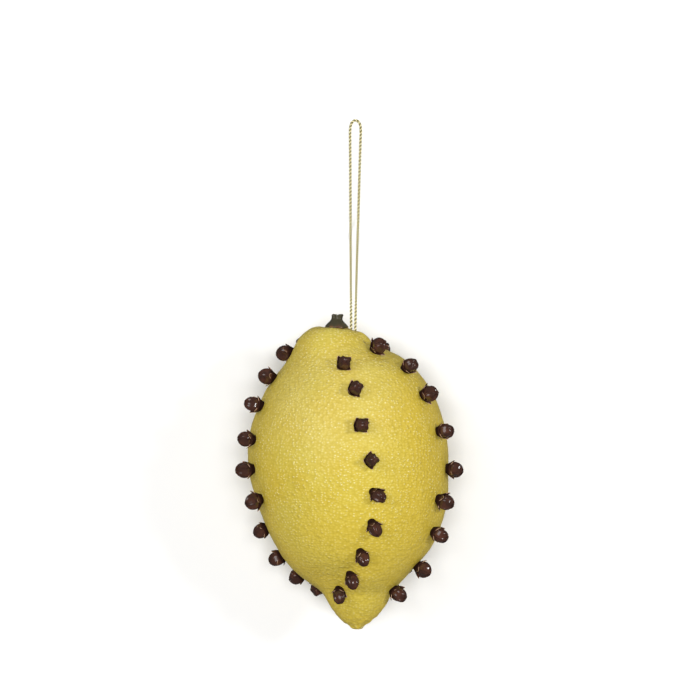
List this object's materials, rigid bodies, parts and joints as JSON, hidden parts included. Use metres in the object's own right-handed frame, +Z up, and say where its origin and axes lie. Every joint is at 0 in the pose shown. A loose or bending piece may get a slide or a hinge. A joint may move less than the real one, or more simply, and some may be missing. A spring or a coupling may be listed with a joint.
{
  "type": "clove-studded lemon ornament",
  "caption": "Artificial lemon pressed with rows of cloves along its sides, with a small stem cap and a looped metallic cord to hang it by.",
  "frame": {"origin": "middle of the small flat spot that the lemon rests on, under the widest part of its belly", "axes": "+Y along the lemon towards its stem cap and cord, +Z up through the front row of cloves, +X to the right seen from above with the stem cap away"},
  "size_m": [0.0712, 0.1624, 0.0671],
  "materials": {
    "rind": "moulded lemon peel, pebbled, lightly glossy",
    "cloves": "dark chocolate-brown gloss paint, a little pink-beige at the sepals' edges",
    "stem_cap": "dark olive-brown gloss",
    "cord": "twisted gold metallic thread"
  },
  "bodies": {
    "root": {"clove_back_left_1": "cloves", "clove_back_left_10": "cloves", "clove_back_left_2": "cloves", "clove_back_left_3": "cloves", "clove_back_left_4": "cloves", "clove_back_left_5": "cloves", "clove_back_left_6": "cloves", "clove_back_left_7": "cloves", "clove_back_left_8": "cloves", "clove_back_left_9": "cloves", "clove_back_right_1": "cloves", "clove_back_right_2": "cloves", "clove_back_right_3": "cloves", "clove_back_right_4": "cloves", "clove_back_right_5": "cloves", "clove_back_right_6": "cloves", "clove_back_right_7": "cloves", "clove_back_right_8": "cloves", "clove_back_right_9": "cloves", "clove_front_1": "cloves", "clove_front_2": "cloves", "clove_front_3": "cloves", "clove_front_4": "cloves", "clove_front_5": "cloves", "clove_front_6": "cloves", "clove_front_7": "cloves", "clove_front_8": "cloves", "clove_front_9": "cloves", "clove_left_1": "cloves", "clove_left_10": "cloves", "clove_left_2": "cloves", "clove_left_3": "cloves", "clove_left_4": "cloves", "clove_left_5": "cloves", "clove_left_6": "cloves", "clove_left_7": "cloves", "clove_left_8": "cloves", "clove_left_9": "cloves", "clove_right_1": "cloves", "clove_right_2": "cloves", "clove_right_3": "cloves", "clove_right_4": "cloves", "clove_right_5": "cloves", "clove_right_6": "cloves", "clove_right_7": "cloves", "clove_right_8": "cloves", "clove_right_9": "cloves", "cord": "cord", "lemon": "rind", "stem_cap": "stem_cap"}
  },
  "joints": []
}
